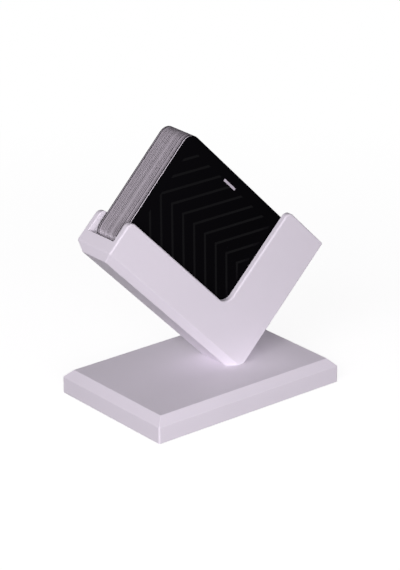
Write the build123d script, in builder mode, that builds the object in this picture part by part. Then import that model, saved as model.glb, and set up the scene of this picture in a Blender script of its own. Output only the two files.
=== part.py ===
from build123d import *
import os

# A desk stand for business cards: a chamfered base plate, a slotted cradle that stands on its
# lower corner, and the stack of cards that leans in the slot.
# The origin is on the desk, below the middle of the whole stand. +X is right, +Y is back.

# Driving dimensions in millimetres and degrees

# Base plate
base_length = 95.3
base_depth = 64.1
base_height = 10.5
base_chamfer = 3.4
base_corner_radius = 0.7
base_shift = -1.2
base_soft_edge = 0.35

# Foot pads, let into the underside
pad_radius = 5.0
pad_thickness = 1.6
pad_projection = 0.3
pad_chamfer = 0.3
pad_inset = 11.0

# Cradle, in its own tilted plane: the left arm runs up-left, the right arm up-right
cradle_corner_x = 11.6
cradle_tilt = 45.0
cradle_sink = 5.9
cradle_depth = 21.3
left_arm_length = 98.6
right_arm_length = 65.85
left_arm_width = 18.75
right_arm_width = 29.5
wall_thickness = 2.7
floor_thickness = 8.45
side_thickness = 10.5
rim_radius = 3.0
notch_radius = 5.3
cradle_chamfer = 3.2
cradle_soft_edge = 0.7
mouth_soft_edge = 0.3

# Cards
card_length = 85.6
card_height = 54.0
card_thickness = 0.76
card_corner_radius = 5.0
card_pitch = 0.815
card_count = 18
card_lean = 1.15
seat_gap = 0.1
card_skew = 0.035

# Fixing screws, from below into the cradle's foot
screw_spacing = 11.0
screw_radius = 1.5
screw_reach = 6.0
screw_clearance = 0.2
pilot_clearance = 0.05
head_radius = 2.75
head_height = 3.0
head_recess = 4.2
head_clearance = 0.35
socket_radius = 1.4
socket_depth = 1.5

# Sizes worked out from the driving dimensions
base_bottom = pad_projection
base_top = base_bottom + base_height
slot_width = cradle_depth - 2 * wall_thickness
head_seat = base_bottom + head_recess
screw_places = [(cradle_corner_x, -screw_spacing / 2), (cradle_corner_x, screw_spacing / 2)]

base_plane = Plane((base_shift, 0, base_bottom))
cradle_plane = Plane(
    origin=(cradle_corner_x, -cradle_depth / 2, base_top - cradle_sink),
    x_dir=Vector(-1, 0, 0).rotate(Axis.Y, cradle_tilt),
    z_dir=(0, 1, 0),
)
along_left_arm = Axis(cradle_plane.origin, cradle_plane.x_dir)
along_right_arm = Axis(cradle_plane.origin, cradle_plane.y_dir)

os.makedirs("parts", exist_ok=True)


def save(piece, name):
    """Labels a finished piece and writes it as its own file."""
    piece.part.label = name
    export_step(piece.part, f"parts/{name}.step")


# Base plate: mitred chamfers all round the top, then slightly rounded upright corners
with BuildPart() as base_plate:
    with BuildSketch(base_plane):
        Rectangle(base_length, base_depth)
    extrude(amount=base_height)
    chamfer(base_plate.faces().sort_by(Axis.Z)[-1].edges(), length=base_chamfer)
    with BuildSketch(base_plane):
        RectangleRounded(base_length, base_depth, base_corner_radius)
    extrude(amount=base_height, mode=Mode.INTERSECT)
    fillet(base_plate.edges(), radius=base_soft_edge)
    pad_grid = GridLocations(base_length - 2 * pad_inset, base_depth - 2 * pad_inset, 2, 2)
    with BuildSketch(base_plane):
        with pad_grid:
            Circle(pad_radius)
    extrude(amount=pad_thickness - pad_projection, mode=Mode.SUBTRACT)
    for x, y in screw_places:
        with Locations(Location((x, y, base_bottom), (180, 0, 0))):
            CounterBoreHole(
                radius=screw_radius + screw_clearance,
                counter_bore_radius=head_radius + head_clearance,
                counter_bore_depth=head_recess,
            )
save(base_plate, "base_plate")

# Foot pads: round rubber discs with a bevelled lower edge, one in each recess
pad_sides = {"front_left": (-1, -1), "front_right": (1, -1), "back_left": (-1, 1), "back_right": (1, 1)}
for side, (right, back) in pad_sides.items():
    pad_x = base_shift + right * (base_length / 2 - pad_inset)
    pad_y = back * (base_depth / 2 - pad_inset)
    with BuildPart() as foot_pad:
        with BuildSketch(Plane((pad_x, pad_y, 0))):
            Circle(pad_radius)
        extrude(amount=pad_thickness)
        chamfer(foot_pad.edges().group_by(Axis.Z)[0], length=pad_chamfer)
    save(foot_pad, f"foot_pad_{side}")

# Cradle: an L-shaped block with rounded rims, chamfered below, cut flat where it stands on the
# base, and slotted so that the slot is open at the top and at the left end
with BuildPart() as card_cradle:
    with BuildSketch(cradle_plane) as outline:
        with BuildLine():
            Polyline(
                (0, 0),
                (left_arm_length, 0),
                (left_arm_length, left_arm_width),
                (right_arm_width, left_arm_width),
                (right_arm_width, right_arm_length),
                (0, right_arm_length),
                close=True,
            )
        make_face()
        rounded_corners = {
            (right_arm_width, left_arm_width): notch_radius,
            (left_arm_length, left_arm_width): rim_radius,
            (right_arm_width, right_arm_length): rim_radius,
        }
        for corner, radius in rounded_corners.items():
            fillet(outline.vertices().sort_by_distance(corner)[0], radius=radius)
    extrude(amount=cradle_depth)
    left_lower_face = card_cradle.faces().sort_by(along_right_arm)[0]
    right_lower_face = card_cradle.faces().sort_by(along_left_arm)[0]
    lower_edges = (left_lower_face.edges() + right_lower_face.edges()).sort_by(Axis.Z)
    shared_corner_copies = 2
    chamfer(lower_edges[shared_corner_copies:], length=cradle_chamfer)
    split(bisect_by=Plane.XY.offset(base_top), keep=Keep.TOP)
    clear_of_foot = base_top + cradle_soft_edge
    outer_edges = card_cradle.edges().filter_by(lambda edge: not edge.is_interior)
    free_edges = outer_edges.filter_by(lambda edge: edge.bounding_box().max.Z > clear_of_foot)
    fillet(free_edges, radius=cradle_soft_edge)
    with BuildSketch(cradle_plane.offset(wall_thickness)):
        with Locations((side_thickness, floor_thickness)):
            Rectangle(left_arm_length, right_arm_length, align=(Align.MIN, Align.MIN))
    extrude(amount=slot_width, mode=Mode.SUBTRACT)
    mouth_edges = card_cradle.edges(Select.LAST).filter_by(lambda edge: not edge.is_interior)
    fillet(mouth_edges, radius=mouth_soft_edge)
    for x, y in screw_places:
        with Locations(Location((x, y, base_top), (180, 0, 0))):
            Hole(screw_radius + pilot_clearance, depth=screw_reach + pilot_clearance)
save(card_cradle, "card_cradle")

# Fixing screws: socket-headed, their heads against the seats in the base
with BuildPart() as fixing_screws:
    with BuildSketch(Plane.XY.offset(head_seat - head_height)):
        with Locations(*screw_places):
            Circle(head_radius)
    extrude(amount=head_height)
    with BuildSketch(Plane.XY.offset(head_seat)):
        with Locations(*screw_places):
            Circle(screw_radius)
    extrude(amount=base_top + screw_reach - head_seat)
    with BuildSketch(Plane.XY.offset(head_seat - head_height)):
        with Locations(*screw_places):
            RegularPolygon(socket_radius, 6)
    extrude(amount=socket_depth, mode=Mode.SUBTRACT)
save(fixing_screws, "fixing_screws")

# Cards: each stands on the slot's floor, leaning back a little. The front one is against the slot's
# right side, and the others are each set off from it by a hair more
card_normal = cradle_plane.z_dir.rotate(Axis((0, 0, 0), cradle_plane.x_dir), card_lean)
for number in range(card_count):
    corner = cradle_plane.from_local_coords(
        (
            side_thickness + seat_gap + number * card_skew,
            floor_thickness + seat_gap,
            wall_thickness + seat_gap + number * card_pitch,
        )
    )
    with BuildPart() as card:
        with BuildSketch(Plane(corner, x_dir=cradle_plane.x_dir, z_dir=card_normal)):
            RectangleRounded(card_length, card_height, card_corner_radius, align=(Align.MIN, Align.MIN))
        extrude(amount=card_thickness)
    save(card, f"card_{number + 1:02d}")
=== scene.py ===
# %% [markdown]
# # A desk stand for business cards
# The stand is a chamfered base with a slotted cradle on it, and a stack of cards leans in the slot.
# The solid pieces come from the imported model, which is the fixed frame for everything below.
# This lesson sets up the camera, floor and light, models what the solids leave plain, and then
# gives every surface its finish.

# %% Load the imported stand
import math
import random

import bmesh
import bpy
from mathutils import Matrix, Vector


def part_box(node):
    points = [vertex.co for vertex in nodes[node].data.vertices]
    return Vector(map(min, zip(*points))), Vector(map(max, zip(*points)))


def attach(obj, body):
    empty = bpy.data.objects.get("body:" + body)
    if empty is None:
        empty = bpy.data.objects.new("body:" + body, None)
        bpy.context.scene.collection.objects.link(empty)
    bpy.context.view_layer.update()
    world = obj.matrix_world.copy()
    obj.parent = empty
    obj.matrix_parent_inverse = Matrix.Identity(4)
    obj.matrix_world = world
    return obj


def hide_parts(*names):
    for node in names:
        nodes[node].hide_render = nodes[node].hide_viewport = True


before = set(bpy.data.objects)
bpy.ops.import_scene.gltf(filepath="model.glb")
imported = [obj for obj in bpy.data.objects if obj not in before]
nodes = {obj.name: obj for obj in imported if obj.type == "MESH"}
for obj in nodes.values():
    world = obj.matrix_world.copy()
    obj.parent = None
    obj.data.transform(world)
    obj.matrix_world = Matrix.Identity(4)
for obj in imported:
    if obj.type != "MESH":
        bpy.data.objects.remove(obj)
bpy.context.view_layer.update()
bpy.ops.object.select_all(action="DESELECT")
MM = 0.001

# %% [markdown]
# ## Camera
# The stand is seen from its front left, a little from above, with a long lens, so that its upright
# edges stay almost parallel. A camera could be placed by eye, but a target, two angles and a
# distance are easier to read and to change.

# %% Place the camera
VIEW_TARGET = Vector((-1.74, 0.0, 46.37)) * MM
VIEW_AZIMUTH = math.radians(-39.305)
VIEW_ELEVATION = math.radians(22.365)
VIEW_DISTANCE = 1067.3 * MM
LENS_MM = 164.5


def direction(azimuth, elevation):
    """The way from the stand to something seen at these angles; azimuth 0 is straight in front."""
    level = math.cos(elevation)
    return Vector((math.sin(azimuth) * level, -math.cos(azimuth) * level, math.sin(elevation)))


def aim(thing, place, target):
    """Puts a camera or lamp at a place and turns it to look at the target."""
    thing.location = place
    thing.rotation_euler = (target - place).to_track_quat("-Z", "Y").to_euler()


bpy.ops.object.camera_add()
camera = bpy.context.object
camera.data.lens = LENS_MM
aim(camera, VIEW_TARGET + direction(VIEW_AZIMUTH, VIEW_ELEVATION) * VIEW_DISTANCE, VIEW_TARGET)
bpy.context.scene.camera = camera
print("camera at", [round(v, 3) for v in camera.location])

# %% [markdown]
# ## Small helpers for node trees
# Every finish below is a node tree. Adding a node, setting it and linking its sockets are the same
# few moves each time, so they are written once here.


# %% Helpers for nodes
def add_node(tree, kind, values=None, **settings):
    """Adds a node, sets its properties, and fills its sockets from numbers or other sockets."""
    node = tree.nodes.new(kind)
    for name, value in settings.items():
        setattr(node, name, value)
    for socket, value in (values or {}).items():
        if isinstance(value, bpy.types.NodeSocket):
            tree.links.new(value, node.inputs[socket])
        else:
            node.inputs[socket].default_value = value
    return node


def math_node(tree, operation, first, second=0.0):
    """One step of arithmetic; gives back its result socket."""
    return add_node(tree, "ShaderNodeMath", {0: first, 1: second}, operation=operation).outputs[0]


def new_material(name):
    """Makes an empty node material and gives back the material and its tree."""
    material = bpy.data.materials.new(name)
    material.use_nodes = True
    material.node_tree.nodes.clear()
    return material, material.node_tree


def show(tree, shader):
    """Sends a shader node to the material's output."""
    add_node(tree, "ShaderNodeOutputMaterial", {"Surface": shader.outputs[0]})


def dress(thing, material):
    """Gives a piece one material in place of what it had."""
    thing.data.materials.clear()
    thing.data.materials.append(material)


print("node helpers ready")

# %% [markdown]
# ## Floor
# The stand is shown on plain white. A white floor that only relied on light would need a lot of it,
# and the stand would burn out, so the floor shows itself to the camera partly as plain white and
# partly as a lit surface. The lit part keeps the soft shadow close to the stand, and further off the
# floor is all white. To all other light the floor is a dark table, as in a studio where the light
# comes from the sides, so that the stand's undersides keep their shade.

# %% Make the floor
FLOOR_SIZE = 12.0
FLOOR_TONE = (0.1, 0.1, 0.1, 1.0)
FLOOR_LIT = (2.35, 2.35, 2.35, 1.0)
GLOW_NEAR = 0.1
GLOW_FAR = 0.35
GLOW_SHARE_NEAR = 0.9
GLOW_SHARE_FAR = 1.0
WHITE = (1.0, 1.0, 1.0, 1.0)
WHITE_STRENGTH = 1.0


def seen_directly(tree):
    """Is 1 for what the camera, a reflection or a clear surface shows, and 0 for plain lighting."""
    path = add_node(tree, "ShaderNodeLightPath").outputs
    mirrored = math_node(tree, "MAXIMUM", path["Is Glossy Ray"], path["Is Transmission Ray"])
    return math_node(tree, "MAXIMUM", path["Is Camera Ray"], mirrored)


def mix_shaders(tree, share, first, second):
    """Mixes two shader nodes by a share from 0 to 1."""
    values = {0: share, 1: first.outputs[0], 2: second.outputs[0]}
    return add_node(tree, "ShaderNodeMixShader", values)


bpy.ops.mesh.primitive_plane_add(size=FLOOR_SIZE)
floor = bpy.context.object
floor.name = "floor"
floor_material, tree = new_material("white_floor")
on_floor = add_node(tree, "ShaderNodeTexCoord").outputs["Object"]
far_off = add_node(tree, "ShaderNodeVectorMath", {0: on_floor}, operation="LENGTH").outputs["Value"]
glow_fade = {
    "Value": far_off,
    "From Min": GLOW_NEAR,
    "From Max": GLOW_FAR,
    "To Min": GLOW_SHARE_NEAR,
    "To Max": GLOW_SHARE_FAR,
}
glow_share = add_node(tree, "ShaderNodeMapRange", glow_fade).outputs["Result"]
lit = add_node(tree, "ShaderNodeBsdfDiffuse", {"Color": FLOOR_LIT})
glow = add_node(tree, "ShaderNodeEmission", {"Color": WHITE, "Strength": WHITE_STRENGTH})
table = add_node(tree, "ShaderNodeBsdfDiffuse", {"Color": FLOOR_TONE})
shown = mix_shaders(tree, glow_share, lit, glow)
show(tree, mix_shaders(tree, seen_directly(tree), table, shown))
dress(floor, floor_material)
print("floor of", FLOOR_SIZE, "m")

# %% [markdown]
# ## Background
# Behind the floor the picture is white too. A bright world would do that, but it would also light the
# stand evenly from all sides and wash out its shapes. So the world is white only where the camera or
# a reflection sees it, and otherwise it gives almost no light.

# %% Make the white background
WORLD_LEVEL = 0.02

world = bpy.data.worlds.new("studio")
bpy.context.scene.world = world
world.use_nodes = True
tree = world.node_tree
tree.nodes.clear()
around = add_node(tree, "ShaderNodeBackground", {"Color": WHITE, "Strength": WORLD_LEVEL})
backdrop = add_node(tree, "ShaderNodeBackground", {"Color": WHITE, "Strength": WHITE_STRENGTH})
sky = mix_shaders(tree, seen_directly(tree), around, backdrop)
add_node(tree, "ShaderNodeOutputWorld", {"Surface": sky.outputs[0]})
bpy.context.scene.view_settings.view_transform = "Standard"
print("white background, world light at", WORLD_LEVEL)

# %% [markdown]
# ## Light
# Two large soft lamps do most of the work. One stands low, close to the camera's right, and one stands
# higher to its left, so that the faces keep different tones and the top of the base stays a little
# darker than its sides. Two flat strip lamps close to the table keep the right side and the back
# readable in other views. All of them have the same faint lilac tint. One function adds each lamp from
# its azimuth and elevation in degrees, its watts and its height.

# %% Add the studio lamps
LAMP_DISTANCE = 1.0
LAMP_WIDTH = 0.6
LAMP_TINT = (0.99, 0.94, 1.0)
LAMP_TARGET = Vector((0.0, 0.0, 45.0)) * MM
TALL = 0.6
LOW = 0.4
FLAT = 0.08
LAMPS = {
    "front": (-28, 10, 6.8, LOW),
    "left": (-65, 26, 5.45, TALL),
    "right": (110, 3, 3.2, FLAT),
    "back": (170, 3, 3.0, FLAT),
}


def add_lamp(name, azimuth, elevation, watts, height):
    """Adds one soft lamp at these angles, turned towards the stand."""
    bpy.ops.object.light_add(type="AREA")
    lamp = bpy.context.object
    lamp.name = name
    lamp.data.shape = "RECTANGLE"
    lamp.data.size = LAMP_WIDTH
    lamp.data.size_y = height
    lamp.data.color = LAMP_TINT
    lamp.data.energy = watts
    way = direction(math.radians(azimuth), math.radians(elevation))
    aim(lamp, LAMP_TARGET + way * LAMP_DISTANCE, LAMP_TARGET)


for name, lamp_values in LAMPS.items():
    add_lamp(name, *lamp_values)
print("lamps:", ", ".join(LAMPS))

# %% [markdown]
# ## Fine grain, shared by the moulded pieces
# Moulded plastic and rubber are never quite smooth or quite one tone. The same two effects serve all
# of them: a fine grain for the bump, and a slow drift of tone. They are one node group, so that each
# finish only sets how coarse the grain is.

# %% Build the grain group
FINE_DETAIL = 3.0
FINE_ROUGHNESS = 0.55
DRIFT_SHARE = 0.02
DRIFT_DETAIL = 2.0
DRIFT_ROUGHNESS = 0.5


def noise(tree, where, scale, detail, roughness):
    """Adds a noise texture; gives back its value socket."""
    values = {"Vector": where, "Scale": scale, "Detail": detail, "Roughness": roughness}
    return add_node(tree, "ShaderNodeTexNoise", values).outputs[0]


grain_group = bpy.data.node_groups.new("moulded_grain", "ShaderNodeTree")
for socket, way in {"Grain Scale": "INPUT", "Height": "OUTPUT", "Drift": "OUTPUT"}.items():
    grain_group.interface.new_socket(name=socket, in_out=way, socket_type="NodeSocketFloat")
fine_scale = add_node(grain_group, "NodeGroupInput").outputs["Grain Scale"]
drift_scale = math_node(grain_group, "MULTIPLY", fine_scale, DRIFT_SHARE)
where = add_node(grain_group, "ShaderNodeTexCoord").outputs["Object"]
fine = noise(grain_group, where, fine_scale, FINE_DETAIL, FINE_ROUGHNESS)
slow = noise(grain_group, where, drift_scale, DRIFT_DETAIL, DRIFT_ROUGHNESS)
add_node(grain_group, "NodeGroupOutput", {"Height": fine, "Drift": slow})
print("node group", grain_group.name)

# %% [markdown]
# ## Shell finish
# The base and the cradle are one pale, satin plastic with a faint lilac tint. A flat colour would
# look like paper, so the tone drifts a little, the gloss varies with it, and a very fine grain breaks
# up the highlights along the softened edges. The recipe is a function, because rubber and steel need
# the same one later with other values.

# %% Make the shell's finish
SHELL_LIGHT = (0.83, 0.797, 0.855, 1.0)
SHELL_DEEP = (0.805, 0.772, 0.83, 1.0)
SHELL_GRAIN = 2600.0
SHELL_BUMP = 0.05
SHELL_GLOSS = (0.55, 0.65)
SHELL_SHINE = 0.12
NOT_METAL = 0.0
GRAIN_HEIGHT = 0.05 * MM
MIX_SHARE = 0
MIX_FIRST = 6
MIX_SECOND = 7
MIX_RESULT = 2


def grain_in(tree, scale):
    """Places the grain group in a material with its own coarseness; gives back its outputs."""
    return add_node(tree, "ShaderNodeGroup", {"Grain Scale": scale}, node_tree=grain_group).outputs


def spread(tree, value, low, high):
    """Turns a value from 0 to 1 into one from low to high."""
    ends = {"Value": value, "To Min": low, "To Max": high}
    return add_node(tree, "ShaderNodeMapRange", ends).outputs["Result"]


def mix_colours(tree, share, first, second):
    """Mixes two colours by a share from 0 to 1."""
    values = {MIX_SHARE: share, MIX_FIRST: first, MIX_SECOND: second}
    return add_node(tree, "ShaderNodeMix", values, data_type="RGBA").outputs[MIX_RESULT]


def bump(tree, height, strength):
    """Turns a height into a bumped normal."""
    settings = {"Height": height, "Strength": strength, "Distance": GRAIN_HEIGHT}
    return add_node(tree, "ShaderNodeBump", settings).outputs["Normal"]


def grained_finish(name, dark, pale, scale, bump_strength, gloss, shine, metallic):
    """Makes a finish whose tone and gloss drift and whose skin is grained."""
    material, tree = new_material(name)
    grain = grain_in(tree, scale)
    shader = add_node(
        tree, "ShaderNodeBsdfPrincipled",
        {
            "Base Color": mix_colours(tree, grain["Drift"], dark, pale),
            "Roughness": spread(tree, grain["Drift"], *gloss),
            "Metallic": metallic,
            "Specular IOR Level": shine,
            "Normal": bump(tree, grain["Height"], bump_strength),
        },
    )
    show(tree, shader)
    return material


shell = grained_finish(
    "shell_satin", SHELL_DEEP, SHELL_LIGHT, SHELL_GRAIN, SHELL_BUMP, SHELL_GLOSS, SHELL_SHINE, NOT_METAL
)
for name in ("base_plate", "card_cradle"):
    dress(nodes[name], shell)
print("shell finish on the base plate and the cradle")

# %% [markdown]
# ## Small helpers for modelling
# Each new piece is modelled as by hand: a primitive is added, shaped in edit mode, and shaded. A piece
# that is needed more than once is modelled once and copied. Each copy has a mesh of its own with its
# place in that mesh, so that a pattern stays where it belongs.

# %% Helpers for modelling
SMOOTH_ANGLE = math.radians(35)


def start_editing():
    """Goes into edit mode with everything of the active piece selected."""
    bpy.ops.object.mode_set(mode="EDIT")
    bpy.ops.mesh.select_all(action="SELECT")


def select_edges(thing, wanted):
    """In edit mode, selects just the edges that pass a test."""
    bpy.ops.mesh.select_mode(type="EDGE")
    bpy.ops.mesh.select_all(action="DESELECT")
    editing = bmesh.from_edit_mesh(thing.data)
    for edge in editing.edges:
        edge.select_set(wanted(edge))
    bmesh.update_edit_mesh(thing.data)


def push(distance):
    """In edit mode, extrudes what is selected straight up or down."""
    bpy.ops.mesh.extrude_region_move(TRANSFORM_OT_translate={"value": (0.0, 0.0, distance)})


def stop_editing():
    """Points all faces outwards and goes back to object mode with smooth shading."""
    bpy.ops.mesh.select_all(action="SELECT")
    bpy.ops.mesh.normals_make_consistent(inside=False)
    bpy.ops.object.mode_set(mode="OBJECT")
    bpy.ops.object.shade_smooth_by_angle(angle=SMOOTH_ANGLE)


def copy_to(pattern, name, place):
    """Copies a finished piece and its mesh, and puts the copy's place into its mesh."""
    piece = pattern.copy()
    piece.data = pattern.data.copy()
    piece.name = name
    bpy.context.collection.objects.link(piece)
    piece.matrix_world = place
    bpy.ops.object.select_all(action="DESELECT")
    piece.select_set(True)
    bpy.context.view_layer.objects.active = piece
    bpy.ops.object.transform_apply(location=True, rotation=True, scale=True)
    return piece


print("modelling helpers ready")

# %% [markdown]
# ## One card
# A card is a laminate: a pale core between two black printed sheets, cut to size with rounded
# corners. The solid card has knife-sharp rims, which catch no light. Here one card is modelled from a
# plane: its corners are rounded, it is pulled up to its thickness, and both rims are broken a little.

# %% Model one card
CARD_SIZE = Vector((85.6, 54.0, 0.76)) * MM
CARD_CORNER = 5.0 * MM
CARD_RIM = 0.04 * MM
CORNER_STEPS = 8
RIM_STEPS = 2


def level_edge(edge):
    """True for an edge that runs round a face of the card, not up its side."""
    first, second = (corner.co for corner in edge.verts)
    return abs(first.z - second.z) < CARD_RIM


bpy.ops.mesh.primitive_plane_add(size=1.0, location=(CARD_SIZE.x / 2, CARD_SIZE.y / 2, 0.0))
pattern_card = bpy.context.object
pattern_card.scale = (CARD_SIZE.x, CARD_SIZE.y, 1.0)
bpy.ops.object.transform_apply(location=True, rotation=False, scale=True)
start_editing()
bpy.ops.mesh.bevel(offset=CARD_CORNER, segments=CORNER_STEPS, affect="VERTICES")
push(CARD_SIZE.z)
select_edges(pattern_card, level_edge)
bpy.ops.mesh.bevel(offset=CARD_RIM, segments=RIM_STEPS, affect="EDGES")
stop_editing()
print("one card:", len(pattern_card.data.vertices), "points,", len(pattern_card.data.polygons), "faces")

# %% [markdown]
# ## Print coordinates
# The print has to stay on its card however the card is turned, so each point remembers where it is
# on the flat card, in millimetres, in an attribute that the finish reads later.

# %% Store the print coordinates
PRINT_ATTRIBUTE = "print_mm"

flat_places = [value / MM for point in pattern_card.data.vertices for value in point.co]
print_places = pattern_card.data.attributes.new(PRINT_ATTRIBUTE, "FLOAT_VECTOR", "POINT")
print_places.data.foreach_set("vector", flat_places)
print("print coordinates up to", [round(max(flat_places[axis::3]), 2) for axis in range(3)], "mm")

# %% [markdown]
# ## The stack
# The cards stand in the slot, turned 45 degrees and leaning back by about one degree. An array modifier
# would make them all alike, so each is a copy of its own, trimmed by a hair at its free short edge, as a
# hand-cut stack is. A few cards have thicker black sheets. These are painted shade, dark lines along the
# stack where the gaps between the cards lie in shade. The front card's cut edge is painted paler, a
# painted highlight, and the two cards behind it a little darker, painted shade. How pale a card's cut
# edge is and how thick its sheets are is kept on its points. Each copy takes the place of its plain solid
# and moves with it.

# %% Fill the slot with cards
CARD_COUNT = 18
CARD_PITCH = 0.815 * MM
CARD_SKEW = 0.035 * MM
FRONT_CORNER = Vector((10.15, -7.85, 18.441)) * MM
CARD_TILT = math.radians(45)
CARD_LEAN = math.radians(1.15)
STACK_SEED = 4
TRIMS = (0.1 * MM, 0.25 * MM)
EDGE_TONE_AND_LIGHT_ATTRIBUTE = "edge_tone_and_light"
COMMON_TONES = (0.38, 0.52)
# Painted light and shade: the front card's cut edge is painted paler, as if lit, and the two cards behind
# it darker.
PAINTED_LIGHT_TONES = {1: 1.0, 2: 0.4, 3: 0.36}
SHEET_MM = 0.02
FRONT_SHEET_AND_SHADE_ATTRIBUTE = "front_sheet_and_shade_mm"
# Painted shade: thicker dark sheets on some cards paint the shade of the gaps between cards as dark lines
# along the stack.
FRONT_SHADE_SHEETS_MM = {1: 0.06, 2: 0.3}
BACK_SHEET_AND_SHADE_ATTRIBUTE = "back_sheet_and_shade_mm"
BACK_SHADE_SHEETS_MM = {1: 0.24, 4: 0.2, 11: 0.2, 17: 0.28, 18: 0.42}


def keep_number(thing, name, value):
    """Stores one number on every point of a piece, for its finish to read."""
    kept = thing.data.attributes.new(name, "FLOAT", "POINT")
    kept.data.foreach_set("value", [value] * len(thing.data.vertices))


random.seed(STACK_SEED)
along = Vector((-math.cos(CARD_TILT), 0.0, math.sin(CARD_TILT)))
straight_up = Vector((math.sin(CARD_TILT), 0.0, math.cos(CARD_TILT)))
backwards = Vector((0.0, 1.0, 0.0))
across = straight_up * math.cos(CARD_LEAN) + backwards * math.sin(CARD_LEAN)
through = along.cross(across)
turned = Matrix((along, across, through)).transposed().to_4x4()
cards = []
for number in range(1, CARD_COUNT + 1):
    node = f"card_{number:02d}"
    shorter = 1.0 - random.uniform(*TRIMS) / CARD_SIZE.x
    common_tone = random.uniform(*COMMON_TONES)
    offset = (backwards * CARD_PITCH + along * CARD_SKEW) * (number - 1)
    trimmed = Matrix.Diagonal((shorter, 1.0, 1.0, 1.0))
    place = Matrix.Translation(FRONT_CORNER + offset) @ turned @ trimmed
    card = copy_to(pattern_card, f"printed_{node}", place)
    keep_number(card, EDGE_TONE_AND_LIGHT_ATTRIBUTE, PAINTED_LIGHT_TONES.get(number, common_tone))
    keep_number(card, FRONT_SHEET_AND_SHADE_ATTRIBUTE, FRONT_SHADE_SHEETS_MM.get(number, SHEET_MM))
    keep_number(card, BACK_SHEET_AND_SHADE_ATTRIBUTE, BACK_SHADE_SHEETS_MM.get(number, SHEET_MM))
    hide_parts(node)
    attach(card, node)
    cards.append(card)
bpy.data.objects.remove(pattern_card)
print(len(cards), "cards, the last one", cards[-1].name)

# %% [markdown]
# ## Cut edges of the cards
# A card is cut through all its layers, so its edge shows the pale core with a dark sheet on either
# side. The layers could be thin pieces of their own, but a mask does the same with far fewer faces: a
# point is core where it lies between the two sheets. Fine plies run along the core, and a narrow band
# low down is painted paler: a painted highlight where the rounded lower corners turn towards the light.

# %% Find and tone the cut edges
CORE_LIGHT = (0.78, 0.74, 0.79, 1.0)
CORE_DARK = (0.22, 0.195, 0.22, 1.0)
PLY_STRETCH = (0.15, 0.15, 9.0)
PLY_SCALE = 1.0
PLY_DETAIL = 2.0
PLY_ROUGHNESS = 0.5
PLY_CONTRAST = 0.12
# Painted highlight: a paler band low on each cut edge stands in for light on the rounded lower corners.
HIGHLIGHT_CENTRE_MM = 1.7
HIGHLIGHT_REACH_MM = 1.2
PAINTED_HIGHLIGHT_TONE = 0.8


def stored(tree, name):
    """Reads a number that was kept on a piece's points."""
    return add_node(tree, "ShaderNodeAttribute", attribute_name=name).outputs["Fac"]


def between(tree, value, low, high):
    """Is 1 where a value lies between two limits, and 0 elsewhere."""
    above = math_node(tree, "GREATER_THAN", value, low)
    below = math_node(tree, "LESS_THAN", value, high)
    return math_node(tree, "MULTIPLY", above, below)


def distance_from(tree, value, middle):
    """How far a value lies from a middle one, on either side."""
    return math_node(tree, "ABSOLUTE", math_node(tree, "SUBTRACT", value, middle))


card_finish, tree = new_material("printed_laminate")
on_card = add_node(tree, "ShaderNodeAttribute", attribute_name=PRINT_ATTRIBUTE).outputs["Vector"]
x, y, z = add_node(tree, "ShaderNodeSeparateXYZ", {0: on_card}).outputs
length_mm, height_mm, thickness_mm = CARD_SIZE / MM
# A thick sheet narrows the pale core, which paints a line of shade on that card's edge.
core_end = math_node(tree, "SUBTRACT", thickness_mm, stored(tree, BACK_SHEET_AND_SHADE_ATTRIBUTE))
cut = between(tree, z, stored(tree, FRONT_SHEET_AND_SHADE_ATTRIBUTE), core_end)
stretched = add_node(tree, "ShaderNodeMapping", {"Vector": on_card, "Scale": PLY_STRETCH}).outputs[0]
plies = noise(tree, stretched, PLY_SCALE, PLY_DETAIL, PLY_ROUGHNESS)
ply_tone = spread(tree, plies, -PLY_CONTRAST, PLY_CONTRAST)
# The painted highlight band is palest at its centre and fades out on both sides.
off_band = distance_from(tree, y, HIGHLIGHT_CENTRE_MM)
highlight_fade = {"Value": off_band, "From Max": HIGHLIGHT_REACH_MM, "To Min": PAINTED_HIGHLIGHT_TONE, "To Max": 0.0}
painted_highlight = add_node(tree, "ShaderNodeMapRange", highlight_fade).outputs["Result"]
# The edge's own random tone plus painted light: the front cards' lit and shaded tones and the painted
# highlight band.
paleness_and_painted_light = math_node(tree, "ADD", math_node(tree, "ADD", stored(tree, EDGE_TONE_AND_LIGHT_ATTRIBUTE), painted_highlight), ply_tone)
core = mix_colours(tree, paleness_and_painted_light, CORE_DARK, CORE_LIGHT)
print("cut edges of", round(thickness_mm, 2), "mm, worn", HIGHLIGHT_CENTRE_MM, "mm from their lower end")

# %% [markdown]
# ## Print of the cards
# Both faces are soft black laminate with a plain chevron pattern in clear varnish and one slim pale
# bar. They could come from a picture, but a picture has a fixed sharpness, so they are worked out from
# the print coordinates. The pattern keeps a margin to the edges of the card.

# %% Draw the chevrons and the bar
BLACK_SHEET = (0.0032, 0.003, 0.0037, 1.0)
BAR_COLOUR = (0.57, 0.53, 0.59, 1.0)
BAR_CENTRE_MM = (52.0, 49.0)
BAR_HALF_MM = (4.0, 0.5)
CHEVRON_PITCH_MM = 8.0
CHEVRON_SHARE = 0.18
PRINT_MARGIN_MM = 5.0


def box_mask(tree, x, y, centre, half):
    """Is 1 inside a rectangle on the card."""
    in_x = between(tree, x, centre[0] - half[0], centre[0] + half[0])
    in_y = between(tree, y, centre[1] - half[1], centre[1] + half[1])
    return math_node(tree, "MULTIPLY", in_x, in_y)


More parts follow.
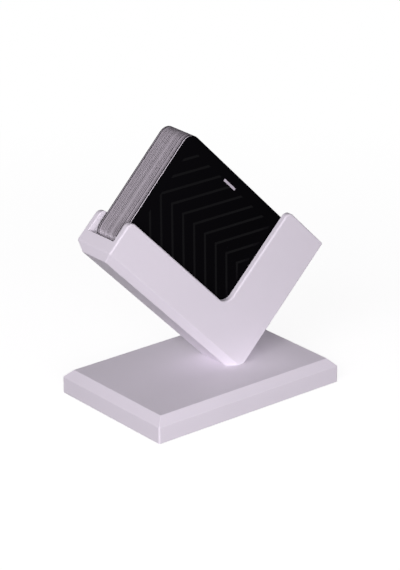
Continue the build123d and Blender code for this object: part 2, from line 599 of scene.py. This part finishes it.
printed = math_node(tree, "SUBTRACT", 1.0, cut)
middle = (length_mm / 2, height_mm / 2)
rise = distance_from(tree, y, height_mm / 2)
steps = math_node(tree, "DIVIDE", math_node(tree, "ADD", x, rise), CHEVRON_PITCH_MM)
chevron = math_node(tree, "LESS_THAN", math_node(tree, "FRACT", steps), CHEVRON_SHARE)
inner_half = [side - PRINT_MARGIN_MM for side in middle]
varnish = math_node(tree, "MULTIPLY", chevron, box_mask(tree, x, y, middle, inner_half))
varnish = math_node(tree, "MULTIPLY", varnish, printed)
bar = math_node(tree, "MULTIPLY", box_mask(tree, x, y, BAR_CENTRE_MM, BAR_HALF_MM), printed)
face = mix_colours(tree, bar, BLACK_SHEET, BAR_COLOUR)
print("chevrons every", CHEVRON_PITCH_MM, "mm and one bar")

# %% [markdown]
# ## Card finish
# Here the masks come together in one shader. The laminate is dull, the cut core is duller still, and
# the varnish is a thin clear coat. So the chevrons show only by their gloss, as on a real card, and
# not as a second colour.

# %% Put the cards' finish together
FACE_ROUGHNESS = 0.5
CUT_ROUGHNESS = 0.6
CARD_SHINE = 0.0
VARNISH_WEIGHT = 0.1
VARNISH_ROUGHNESS = 0.2

grain = grain_in(tree, SHELL_GRAIN)
card_shader = add_node(
    tree, "ShaderNodeBsdfPrincipled",
    {
        "Base Color": mix_colours(tree, cut, face, core),
        "Roughness": spread(tree, cut, FACE_ROUGHNESS, CUT_ROUGHNESS),
        "Specular IOR Level": CARD_SHINE,
        "Coat Weight": math_node(tree, "MULTIPLY", varnish, VARNISH_WEIGHT),
        "Coat Roughness": VARNISH_ROUGHNESS,
        "Normal": bump(tree, grain["Height"], SHELL_BUMP),
    },
)
show(tree, card_shader)
for card in cards:
    dress(card, card_finish)
print("print and cut edges on", len(cards), "cards")

# %% [markdown]
# ## One foot pad
# Under the base are four round rubber pads. A real pad has rings moulded into its underside for grip.
# A bump could only hint at them, so one pad is modelled from a disc: it is extruded down, its lower
# edge is drawn in, and then ring after ring is stepped inwards.

# %% Model one foot pad
PAD_RADIUS = 5.0 * MM
PAD_TOP = 1.6 * MM
PAD_BEVEL = 0.3 * MM
PAD_SIDES = 64
RING_WIDTH = 0.7 * MM
RING_DEPTH = 0.3 * MM
RING_COUNT = 2

bpy.ops.object.select_all(action="DESELECT")
bpy.ops.mesh.primitive_circle_add(
    vertices=PAD_SIDES, radius=PAD_RADIUS, fill_type="NGON", location=(0.0, 0.0, PAD_TOP)
)
pattern_pad = bpy.context.object
bpy.ops.object.transform_apply(location=True, rotation=False, scale=False)
start_editing()
push(PAD_BEVEL - PAD_TOP)
push(-PAD_BEVEL)
shrink = 1.0 - PAD_BEVEL / PAD_RADIUS
bpy.ops.transform.resize(value=(shrink, shrink, 1.0), center_override=(0.0, 0.0, 0.0))
for ring in range(RING_COUNT):
    for depth in (RING_DEPTH, -RING_DEPTH):
        bpy.ops.mesh.inset(thickness=RING_WIDTH)
        push(depth)
stop_editing()
print("one pad:", RING_COUNT, "grooves,", len(pattern_pad.data.polygons), "faces")

# %% [markdown]
# ## The four pads
# The pads sit in recesses near the corners of the base. Their places could be worked out again, but
# they are read from the solid pads, so that they always agree. Each copy takes the place of its plain
# solid.

# %% Place the foot pads
pads = []
for side in ("front_left", "front_right", "back_left", "back_right"):
    node = f"foot_pad_{side}"
    low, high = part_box(node)
    centre = (low + high) / 2
    pad = copy_to(pattern_pad, f"ringed_{node}", Matrix.Translation((centre.x, centre.y, 0.0)))
    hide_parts(node)
    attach(pad, "stand")
    pads.append(pad)
bpy.data.objects.remove(pattern_pad)
print(len(pads), "pads, the last one", pads[-1].name)

# %% [markdown]
# ## Rubber and steel
# The pads are dark, dull rubber with a coarse skin, and the two screws are plain steel with a fine,
# slightly uneven sheen. Both finishes follow the shell's recipe with their own tones, grain and gloss.

# %% Make the rubber and steel finishes
RUBBER_DARK = (0.018, 0.018, 0.02, 1.0)
RUBBER_WORN = (0.04, 0.04, 0.043, 1.0)
RUBBER_GRAIN = 1400.0
RUBBER_BUMP = 0.35
RUBBER_GLOSS = (0.7, 0.85)
STEEL_DULL = (0.48, 0.49, 0.5, 1.0)
STEEL_BRIGHT = (0.6, 0.61, 0.62, 1.0)
STEEL_GRAIN = 3500.0
STEEL_BUMP = 0.12
STEEL_GLOSS = (0.22, 0.38)
PLAIN_SHINE = 0.5
METAL = 1.0

rubber = grained_finish(
    "dull_rubber", RUBBER_DARK, RUBBER_WORN, RUBBER_GRAIN, RUBBER_BUMP, RUBBER_GLOSS, PLAIN_SHINE, NOT_METAL
)
steel = grained_finish(
    "turned_steel", STEEL_DULL, STEEL_BRIGHT, STEEL_GRAIN, STEEL_BUMP, STEEL_GLOSS, PLAIN_SHINE, METAL
)
for pad in pads:
    dress(pad, rubber)
dress(nodes["fixing_screws"], steel)
print("rubber on", len(pads), "pads, steel on the screws")
